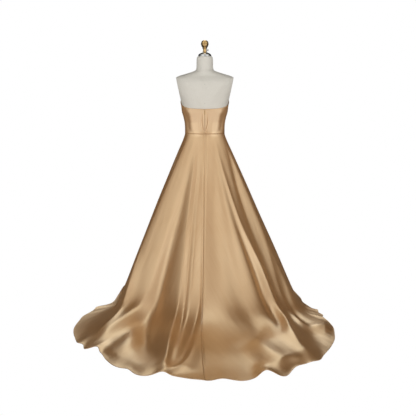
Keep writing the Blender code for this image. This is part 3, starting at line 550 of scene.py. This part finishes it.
def satin_edge(net):
    """The turned edge: satin on the bias, a little more worn than the panels."""
    place = net.node("TexCoord", (), (), out="Object")
    threads = noise(net, place, 2600.0, 2.0)
    tone = noise(net, place, 24.0, 2.0).between(0.35, 0.7)
    height = threads * 0.00008 + noise(net, place, 90.0, 1.0) * 0.0004
    normal = bent(net, height, 1.0)
    ground = tint(net, tone * 0.7 + 0.3, GOLD, DEEP_GOLD)
    sheen = tint(net, tone, CHAMPAGNE, WARM_CHAMPAGNE)
    dull = shader(net, ground, GROUND_ROUGHNESS, 0.0, normal, Specular_IOR_Level=GROUND_SPECULAR)
    bright = shader(net, sheen, threads.between(0.3, 0.7, 0.38, 0.48), 1.0, normal)
    return net.node("MixShader", (), {0: tone.between(0.0, 1.0, SHINE, SHINE - 0.10), 1: dull, 2: bright})


# the last colour is dust on the worn canvas, and also painted shade along the neck seam
CANVAS_COLOUR, CANVAS_SHADOW, CANVAS_DUST_AND_SEAM_SHADE = (0.82, 0.79, 0.75), (0.72, 0.69, 0.64), (0.60, 0.57, 0.52)
CANVAS_PITCH, CANVAS_DEPTH, CANVAS_SEAM_DEPTH = 0.00085, 0.00014, 0.0005


def canvas(net):
    place = net.node("UVMap", {"uv_map": "cloth"})
    across, along, _ = axes(net, place)
    to_seam = net.node("Attribute", {"attribute_name": "to_seam"}, out="Fac")
    weave = (across * (math.tau / CANVAS_PITCH)).sine() * (along * (math.tau / CANVAS_PITCH)).sine()
    thick = noise(net, joined(net, across * 30.0, along * 700.0), 1.0, 2.0)
    thin = noise(net, joined(net, across * 700.0, along * 30.0), 1.0, 2.0)
    worn = noise(net, place, 9.0, 3.0)
    seam = to_seam.between(0.0004, 0.0016, 1.0, 0.0)
    shade = thick.between(0.35, 0.75, 0.0, 0.35) + thin.between(0.35, 0.75, 0.0, 0.35) + weave * 0.06
    colour = tint(net, shade + 0.03, CANVAS_COLOUR, CANVAS_SHADOW)
    # dust where the noise wears the canvas, and painted shade in the neck seam's groove
    colour = tint(net, worn.between(0.45, 0.75, 0.0, 0.22) + seam * 0.55, colour, CANVAS_DUST_AND_SEAM_SHADE)
    height = (weave * 0.5 + thick * 0.6 + thin * 0.6) * CANVAS_DEPTH - seam * CANVAS_SEAM_DEPTH
    return shader(net, colour, thin.between(0.3, 0.7, 0.82, 0.95), 0.0, bent(net, height, 1.0))


CHROME_COLOUR, CHROME_SMEAR = (0.62, 0.63, 0.65), (0.40, 0.40, 0.41)
BRASS_COLOUR, BRASS_TARNISH = (0.66, 0.44, 0.20), (0.20, 0.115, 0.04)
STEEL_COLOUR, STEEL_STAIN = (0.36, 0.37, 0.38), (0.19, 0.18, 0.17)
ENAMEL_COLOUR, ENAMEL_THICK, ENAMEL_CHIP = (0.56, 0.36, 0.17), (0.47, 0.28, 0.12), (0.62, 0.58, 0.50)
IRON_COLOUR, IRON_SAND, IRON_BARE = (0.040, 0.040, 0.044), (0.068, 0.067, 0.068), (0.30, 0.29, 0.28)


def chrome(net):
    place = net.node("TexCoord", (), (), out="Object")
    x, y, z = axes(net, place)
    smear = noise(net, place, 70.0, 3.0)
    rings = noise(net, joined(net, x * 2.0, y * 2.0, z * 2600.0), 1.0, 2.0)
    rim = abs(z - NECK_TOP - 0.0018).between(0.0, 0.0022, 1.0, 0.0)
    colour = tint(net, smear.between(0.45, 0.75, 0.0, 0.5) + rim * 0.3, CHROME_COLOUR, CHROME_SMEAR)
    rough = smear.between(0.4, 0.8, 0.07, 0.18) + rim * 0.10
    return shader(net, colour, rough, 1.0, bent(net, rings * 0.00001 + smear * 0.00003, 1.0))


def brass(net):
    place = net.node("TexCoord", (), (), out="Object")
    x, y, z = axes(net, place)
    blotch = noise(net, place, 120.0, 3.0)
    lathe = noise(net, joined(net, x * 3.0, y * 3.0, z * 1900.0), 1.0, 2.0)
    groove = 0.0
    for level, half in FINIAL_GROOVES:
        groove = abs(z - level).between(0.0, half, 1.0, 0.0) + groove
    tarnish = (blotch.between(0.42, 0.72, 0.0, 0.55) + groove * 0.85).between(0.0, 1.2, 0.0, 1.0)
    colour = tint(net, tarnish, BRASS_COLOUR, BRASS_TARNISH)
    rough = blotch.between(0.35, 0.75, 0.14, 0.26) + groove * 0.18
    return shader(net, colour, rough, 1.0, bent(net, lathe * 0.00002 + blotch * 0.00004, 1.0))


def steel(net):
    place = net.node("TexCoord", (), (), out="Object")
    x, y, z = axes(net, place)
    turned = noise(net, joined(net, x * 12.0, y * 12.0, z * 1500.0), 1.0, 3.0)
    stain = noise(net, place, 32.0, 3.0)
    colour = tint(net, stain.between(0.45, 0.75, 0.0, 0.6), STEEL_COLOUR, STEEL_STAIN)
    rough = turned.between(0.3, 0.7, 0.26, 0.42) + stain.between(0.5, 0.8, 0.0, 0.14)
    return shader(net, colour, rough, 1.0, bent(net, turned, 0.00004))


def enamel(net):
    place = net.node("TexCoord", (), (), out="Object")
    chips = noise(net, place, 1400.0, 3.0).between(0.63, 0.70)
    flow = noise(net, place, 420.0, 2.0)
    colour = tint(net, flow.between(0.3, 0.7), ENAMEL_COLOUR, ENAMEL_THICK)
    colour = tint(net, chips, colour, ENAMEL_CHIP)
    rough = flow.between(0.3, 0.7, 0.26, 0.38) + chips * 0.08
    height = flow * 0.00006 - chips * 0.00003
    return shader(net, colour, rough, chips * 0.6 + 0.35, bent(net, height, 1.0))


def iron(net):
    place = net.node("TexCoord", (), (), out="Object")
    x, y, _ = axes(net, place)
    sand = noise(net, place, 520.0, 3.0)
    lumps = noise(net, place, 60.0, 2.0)
    radius = net.math("SQRT", x * x + y * y)
    rim = abs(radius - (BASE_RADIUS - 0.002)).between(0.0, 0.005, 1.0, 0.0)
    worn = rim * lumps.between(0.45, 0.62)
    colour = tint(net, sand.between(0.35, 0.7), IRON_COLOUR, IRON_SAND)
    colour = tint(net, worn * 0.8, colour, IRON_BARE)
    rough = sand.between(0.3, 0.7, 0.42, 0.62)
    height = sand * 0.00018 + lumps * 0.00035
    return shader(net, colour, rough, worn * 0.5 + 0.35, bent(net, height, 1.0))


# the stand's turned pieces, as (radius, height) from their own foot
BASE_RADIUS = 0.180
CAP_BASE = NECK_TOP + SEAM_GAP
AXIS_Y = 0.0015
CAP_PROFILE = ((0.0, 0.0), (0.0415, 0.0), (0.0425, 0.004), (0.0400, 0.011), (0.0300, 0.019),
               (0.0190, 0.0235), (0.0165, 0.0260), (0.0, 0.0260))
FINIAL_BASE = CAP_BASE + CAP_PROFILE[-1][1] + SEAM_GAP
FINIAL_PROFILE = ((0.0, 0.0), (0.0125, 0.0), (0.0120, 0.004), (0.0108, 0.012), (0.0112, 0.0185),
                  (0.0150, 0.0205), (0.0152, 0.0235), (0.0135, 0.0255), (0.0185, 0.0320),
                  (0.0225, 0.0400), (0.0238, 0.0470), (0.0250, 0.0490), (0.0238, 0.0510),
                  (0.0230, 0.0580), (0.0200, 0.0660), (0.0140, 0.0710), (0.0060, 0.0732),
                  (0.0, 0.0735))
GROOVE_ROWS = ((0.0, 0.002), (0.0188, 0.0018), (0.0258, 0.0032), (0.0462, 0.0020), (0.0520, 0.0022))
FINIAL_GROOVES = tuple((FINIAL_BASE + level, half) for level, half in GROOVE_ROWS)

SATIN = finish("champagne_duchess_satin", satin)
SATIN_EDGE = finish("satin_turned_edge", satin_edge)
CANVAS = finish("form_canvas_cloth", canvas)
CHROME = finish("polished_chrome", chrome)
BRASS = finish("aged_lacquered_brass", brass)
STEEL = finish("turned_steel", steel)
ENAMEL = finish("gold_zip_enamel", enamel)
IRON = finish("black_cast_iron", iron)


MERGE = 0.00001
CANVAS_SHARP, TURNED_SHARP = math.radians(50), math.radians(35)


# pieces
def link(name, mesh, look):
    item = bpy.data.objects.new(name, mesh)
    bpy.context.scene.collection.objects.link(item)
    mesh.materials.append(look)
    return item


def cloth_sizes(points, wide, tall, fan):
    """Each point's place on the flat cut, and how far it is from the side seams, the top and the foot."""
    net = points.reshape(tall + 1, wide + 1, 3)
    down = np.linalg.norm(np.diff(net, axis=0), axis=-1)
    down = np.concatenate([np.zeros((1, wide + 1)), np.cumsum(down, axis=0)])
    side = np.linalg.norm(np.diff(net, axis=1), axis=-1)
    side = np.concatenate([np.zeros((tall + 1, 1)), np.cumsum(side, axis=1)], axis=1)
    width = side[:, -1:]
    if fan:
        angle = (width[-1, 0] - width[0, 0]) / down[-1].mean()
        turn = (side / width - 0.5) * angle
        radius = width[0, 0] / angle + down
        flat = np.stack([radius * np.sin(turn), radius * np.cos(turn)], -1)
    else:
        flat = np.stack([side, down], -1)
    to_seam = np.minimum(side, width - side)
    return flat.reshape(-1, 2), to_seam.ravel(), down.ravel(), (down[-1:] - down).ravel()


def net_object(name, place, wide, tall, look, fan=False, seams="sides", shell=0.0):
    """A net of quads whose points come from place(across, down), both from 0 to 1, with its cloth sizes."""
    shape = bmesh.new()
    bmesh.ops.create_grid(shape, x_segments=wide, y_segments=tall, size=0.5)
    across = np.array([vert.co.x + 0.5 for vert in shape.verts])
    down = np.array([0.5 - vert.co.y for vert in shape.verts])
    order = np.lexsort((across.round(6), down.round(6)))
    points = np.empty((len(order), 3))
    points[order] = place(across[order], down[order])
    flat, to_seam, from_top, to_hem = cloth_sizes(points[order], wide, tall, fan)
    if seams == "sides and top":
        to_seam = np.minimum(to_seam, from_top)
    elif seams == "sides and foot":
        to_seam = np.minimum(to_seam, to_hem)
        to_hem = from_top + 1.0
    elif seams == "canvas":
        to_seam = np.abs(points[order][:, 2] - NECK_SEAM)
    back = np.argsort(order)
    layer = shape.loops.layers.uv.new("cloth")
    seam_layer = shape.verts.layers.float.new("to_seam")
    hem_layer = shape.verts.layers.float.new("to_hem")
    places = flat[back].tolist()
    for vert, point, seam, hem in zip(shape.verts, points, to_seam[back].tolist(), to_hem[back].tolist()):
        vert.co = point
        vert[seam_layer] = seam
        vert[hem_layer] = hem
    for face in shape.faces:
        for loop in face.loops:
            loop[layer].uv = places[loop.vert.index]
    if seams == "canvas":
        bmesh.ops.remove_doubles(shape, verts=shape.verts, dist=MERGE)
        bmesh.ops.holes_fill(shape, edges=[edge for edge in shape.edges if edge.is_boundary], sides=0)
        bmesh.ops.recalc_face_normals(shape, faces=shape.faces)
    mesh = bpy.data.meshes.new(name)
    shape.to_mesh(mesh)
    shape.free()
    mesh.shade_smooth()
    if seams == "canvas":
        mesh.set_sharp_from_angle(angle=CANVAS_SHARP)
    item = link(name, mesh, look)
    if shell:
        wall = item.modifiers.new("shell", "SOLIDIFY")
        wall.thickness = shell
        wall.offset = -1
    return item


WAIST_RADIUS, RADIUS_GAIN = 0.1, 1.2
ROW_CROWD = 0.70


def seam_inset(down):
    """Half of the gap at a seam, in degrees, at a share of the way down."""
    return np.degrees(HALF_GAP / (WAIST_RADIUS + RADIUS_GAIN * down))


def skirt_panel(name, start, end, wide, tall, crowd):
    """A skirt panel between two azimuths. Crowd above 1 brings its columns nearer to the start."""

    def place(across, down):
        down = down - ROW_CROWD * np.sin(math.tau * down) / math.tau
        inset = seam_inset(down) * np.sign(end - start)
        azimuth = (start + inset) + (end - start - 2 * inset) * across**crowd
        if name != "satin_skirt_front":
            azimuth = azimuth + seam_azimuth(down) * (1 - np.abs(azimuth) / SIDE_SEAM)
        return skirt_point(azimuth, down)

    return net_object(name, place, wide, tall, SATIN, fan=True, seams="sides and top", shell=SHELL)


def bodice_panel(name, start, end, wide, tall):
    def place(across, down):
        azimuth = start + (end - start) * across
        top = bodice_top(azimuth)
        height = top + (WAIST_HEIGHT - top) * down
        return bodice_point(azimuth, height, np.full(azimuth.shape, EASE + CLOTH))

    return net_object(name, place, wide, tall, SATIN, seams="sides and foot", shell=SHELL)


def dress(item, slot, *nodes, body="gown_on_form"):
    """Gives a piece its body and hides the solids that it stands for; the slot is not used."""
    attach(item, body)
    if nodes:
        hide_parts(*nodes)
    return item


def edge_roll(name, points, radius):
    """A fine round edge of turned satin along a line of points."""
    curve = bpy.data.curves.new(name, "CURVE")
    curve.dimensions = "3D"
    curve.bevel_depth, curve.bevel_resolution, curve.use_fill_caps = radius, 1, True
    line = curve.splines.new("POLY")
    line.points.add(len(points) - 1)
    for spot, point in zip(line.points, points):
        spot.co = (*point, 1)
    return dress(link(name, curve, SATIN_EDGE), "gold_satin")


HEM_ROLL, TOP_ROLL = 0.0011, 0.0010
HEM_POINTS, TOP_POINTS = 320, 90
HEM_ROLL_INSET = 0.05


def hem_line(start, end):
    azimuth = np.linspace(start, end, HEM_POINTS)
    low = np.ones(HEM_POINTS)
    if abs(end) <= SIDE_SEAM:
        azimuth = azimuth + seam_azimuth(low) * (1 - np.abs(azimuth) / SIDE_SEAM)
    inward = np.stack([-np.sin(np.radians(azimuth)), -np.cos(np.radians(azimuth)), 0 * azimuth], -1)
    return skirt_point(azimuth, low) + inward * SHELL / 2 + (0, 0, -SHELL / 2)


def top_line(start, end):
    azimuth = np.linspace(start, end, TOP_POINTS)
    return bodice_point(azimuth, bodice_top(azimuth), np.full(TOP_POINTS, EASE + CLOTH - SHELL / 2))


SKIRT_CUT = (
    # piece, start and end azimuth, columns, rows, crowding, flat width and length, flat area
    ("skirt_back_left", 0, 90, 216, 200, 1.35, (1.77, 1.74), 1.25),
    ("skirt_back_right", 0, -90, 216, 200, 1.35, (1.78, 1.78), 1.28),
    ("skirt_front", 90, 270, 190, 130, 1.0, (1.69, 1.20), 1.23),
)
BODICE_CUT = (
    # piece, start and end azimuth, columns, rows, flat width and length, flat area
    ("bodice_back_left", 0.08, 89.92, 110, 60, (0.22, 0.20), 0.031),
    ("bodice_back_right", -89.92, -0.08, 110, 60, (0.22, 0.20), 0.031),
    ("bodice_front", 90.08, 269.92, 170, 70, (0.48, 0.26), 0.096),
)

for node, start, end, wide, tall, crowd, flat, area in SKIRT_CUT:
    panel = dress(skirt_panel("satin_" + node, start, end, wide, tall, crowd), "gold_satin", node)
    inset = HEM_ROLL_INSET * np.sign(end - start)
    roll = edge_roll("hem_roll_" + node[6:], hem_line(start + inset, end - inset), HEM_ROLL)

for node, start, end, wide, tall, flat, area in BODICE_CUT:
    panel = dress(bodice_panel("satin_" + node, start, end, wide, tall), "gold_satin", node)
    roll = edge_roll("top_roll_" + node[7:], top_line(start, end), TOP_ROLL)


TORSO_COLUMNS, TORSO_ROWS = 208, 180


def torso_place(across, down):
    height = HIP_HEIGHT + (NECK_TOP - HIP_HEIGHT) * (1 - down)
    return form_point(360 * across, height)


torso = net_object("canvas_torso", torso_place, TORSO_COLUMNS, TORSO_ROWS, CANVAS, seams="canvas")
dress(torso, "form_canvas", "form_torso")


def rounded(profile, rounds=2):
    """A profile with its corners cut to soft curves, its ends kept."""
    points = [np.array(point) for point in profile]
    for _ in range(rounds):
        inner = []
        for first, second in zip(points[1:-1], points[2:-1]):
            inner += [first * 0.75 + second * 0.25, first * 0.25 + second * 0.75]
        points = [points[0], points[1], *inner, points[-2], points[-1]]
    return [tuple(point) for point in points]


TURN_STEPS = 96


def turned(name, profile, foot, look, slot, node, body):
    """A turned piece: a profile of (radius, height) spun about the form's axis."""
    shape = bmesh.new()
    verts = [shape.verts.new((radius, 0, height)) for radius, height in profile]
    edges = [shape.edges.new(pair) for pair in zip(verts, verts[1:])]
    bmesh.ops.spin(shape, geom=verts + edges, cent=(0, 0, 0), axis=(0, 0, 1), angle=math.tau,
                   steps=TURN_STEPS, use_merge=True)
    bmesh.ops.remove_doubles(shape, verts=shape.verts, dist=MERGE)
    bmesh.ops.recalc_face_normals(shape, faces=shape.faces)
    bmesh.ops.translate(shape, verts=shape.verts, vec=(0, AXIS_Y, foot))
    mesh = bpy.data.meshes.new(name)
    shape.to_mesh(mesh)
    shape.free()
    mesh.shade_smooth()
    mesh.set_sharp_from_angle(angle=TURNED_SHARP)
    return dress(link(name, mesh, look), slot, node, body=body)


turned("chrome_neck_cap", rounded(CAP_PROFILE), CAP_BASE, CHROME, "cap_chrome", "neck_cap", "gown_on_form")
turned("turned_finial", rounded(FINIAL_PROFILE), FINIAL_BASE, BRASS, "finial_brass", "finial", "finial")

TACK_HEIGHTS, TACK_RADIUS, TACK_DOME = (1.409, 1.291), 0.0016, 0.35


def tack_head(name, centre):
    """A small domed tack head on the back of the form."""
    shape = bmesh.new()
    bmesh.ops.create_uvsphere(shape, u_segments=20, v_segments=10, radius=TACK_RADIUS)
    bmesh.ops.scale(shape, verts=shape.verts, vec=(1, TACK_DOME, 1))
    bmesh.ops.translate(shape, verts=shape.verts, vec=centre)
    mesh = bpy.data.meshes.new(name)
    shape.to_mesh(mesh)
    shape.free()
    mesh.shade_smooth()
    return dress(link(name, mesh, STEEL), "screw_steel")


for number, level in enumerate(TACK_HEIGHTS):
    spot = form_point(np.zeros(1), np.full(1, level))[0]
    tack_head("form_tack_%d" % number, tuple(spot))

for node, look in (("finial_screw", STEEL), ("stand_pole", STEEL), ("stand_base", IRON),
                   ("zip_slider", ENAMEL), ("zip_pull", ENAMEL)):
    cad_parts[node].data.materials.clear()
    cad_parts[node].data.materials.append(look)


# floor, light and camera
def area_light(name, place, aim, width, height, watts):
    data = bpy.data.lights.new(name, "AREA")
    data.shape = "RECTANGLE"
    data.size, data.size_y = width, height
    data.energy = watts
    item = bpy.data.objects.new(name, data)
    bpy.context.scene.collection.objects.link(item)
    item.location = place
    item.rotation_euler = (Vector(aim) - Vector(place)).to_track_quat("-Z", "Y").to_euler()


DIM_BEHIND, BRIGHT_AHEAD, WALL_BEHIND = 0.02, 1.10, 1.85
MIDDLE_DIP, DULL_SHARE = 0.63, 1.35
LIGHT_COLOUR = (1.0, 0.98, 0.88, 1.0)
WHITE, BLACK = (1.0, 1.0, 1.0, 1.0), (0.0, 0.0, 0.0, 1.0)
FLOOR_SIZE, FLOOR_DROP = 40, 0.0005


def studio_white(net):
    """A pale floor that glows ahead of the train and shows plain white to the camera."""
    x, y, _ = axes(net, net.node("TexCoord", (), (), out="Object"))
    grain = noise(net, joined(net, x, y), 3.0, 2.0).between(0.3, 0.7, 0.20, 0.24)
    lit = net.node("BsdfPrincipled", (), {
        "Base Color": joined(net, grain, grain, grain), "Roughness": 0.9, "Emission Strength": 1.0,
        "Emission Color": tint(net, y.between(0.8, 2.6), BLACK[:3], WHITE[:3])})
    shown = net.node("Emission", (), {"Strength": 1.0})
    camera_ray = net.node("LightPath", (), (), out="Is Camera Ray")
    return net.node("MixShader", (), {0: camera_ray, 1: lit, 2: shown})


def studio_world():
    """A wide soft light ahead of the gown, a narrow band behind it, and white for the camera."""
    world = bpy.data.worlds.new("studio")
    bpy.context.scene.world = world
    world.use_nodes = True
    world.node_tree.nodes.clear()
    net = Net(world.node_tree)
    x, y, z = axes(net, net.node("TexCoord", (), (), out="Generated"))
    aside = abs(x)
    middle = aside.between(0.10, 0.45, 1.0, 0.0) * y.between(0.15, 0.6, 0.0, MIDDLE_DIP)
    ahead = y.between(-0.35, 0.60, DIM_BEHIND, BRIGHT_AHEAD) * (1.0 - middle)
    band = aside.between(0.08, 0.21, WALL_BEHIND, 0.0) * z.between(0.06, 0.32)
    band = band * y.between(0.0, 0.3, 1.0, 0.0)
    path = net.node("LightPath", (), (), out="Is Camera Ray")
    diffuse_ray = Net(net.tree, path.socket.node.outputs["Is Diffuse Ray"])
    shiny = ahead.larger(band) * (1.0 - diffuse_ray)
    dull = ahead * z.between(0.20, 0.75, 1.0, 0.12) * DULL_SHARE * diffuse_ray
    lit = net.node("Background", (), {"Color": LIGHT_COLOUR, "Strength": shiny + dull})
    shown = net.node("Background", (), {"Color": WHITE})
    net.node("OutputWorld", (), {"Surface": net.node("MixShader", (), {0: path, 1: lit, 2: shown})})
    world.cycles.sampling_method = "NONE"


bpy.ops.mesh.primitive_plane_add(size=FLOOR_SIZE, location=(0, 0, -FLOOR_DROP))
studio_floor = bpy.context.object
studio_floor.name = "studio_floor"
studio_floor.data.materials.append(finish("studio_white", studio_white))
studio_world()
LIGHTS = (
    # name, place, aim, width, height, watts
    ("key_left", (2.2, 4.3, 2.0), (0, 0.1, 0.9), 1.4, 2.4, 10),
    ("key_right", (-2.9, 3.9, 2.0), (0, 0.1, 0.9), 1.4, 2.4, 11),
    ("overhead", (0.3, 2.0, 4.2), (0, 0.4, 0.3), 3.0, 2.0, 4),
    ("front_fill", (0, -4.5, 2.6), (0, 0, 0.8), 3.0, 2.0, 16),
)
for light in LIGHTS:
    area_light(*light)

LENS_MM, SENSOR_MM, SHIFT_ACROSS = 57.16, 36, 0.0077
CAMERA_PLACE, CAMERA_PITCH = (0, 4.3, 1.35), 9.8
camera_data = bpy.data.cameras.new("photo_camera")
camera_data.lens = LENS_MM
camera_data.sensor_width = SENSOR_MM
camera_data.shift_x = SHIFT_ACROSS
camera = bpy.data.objects.new("photo_camera", camera_data)
bpy.context.scene.collection.objects.link(camera)
camera.location = CAMERA_PLACE
camera.rotation_euler = (math.radians(90 - CAMERA_PITCH), 0, math.radians(180))
bpy.context.scene.camera = camera
bpy.context.scene.view_settings.view_transform = "Standard"
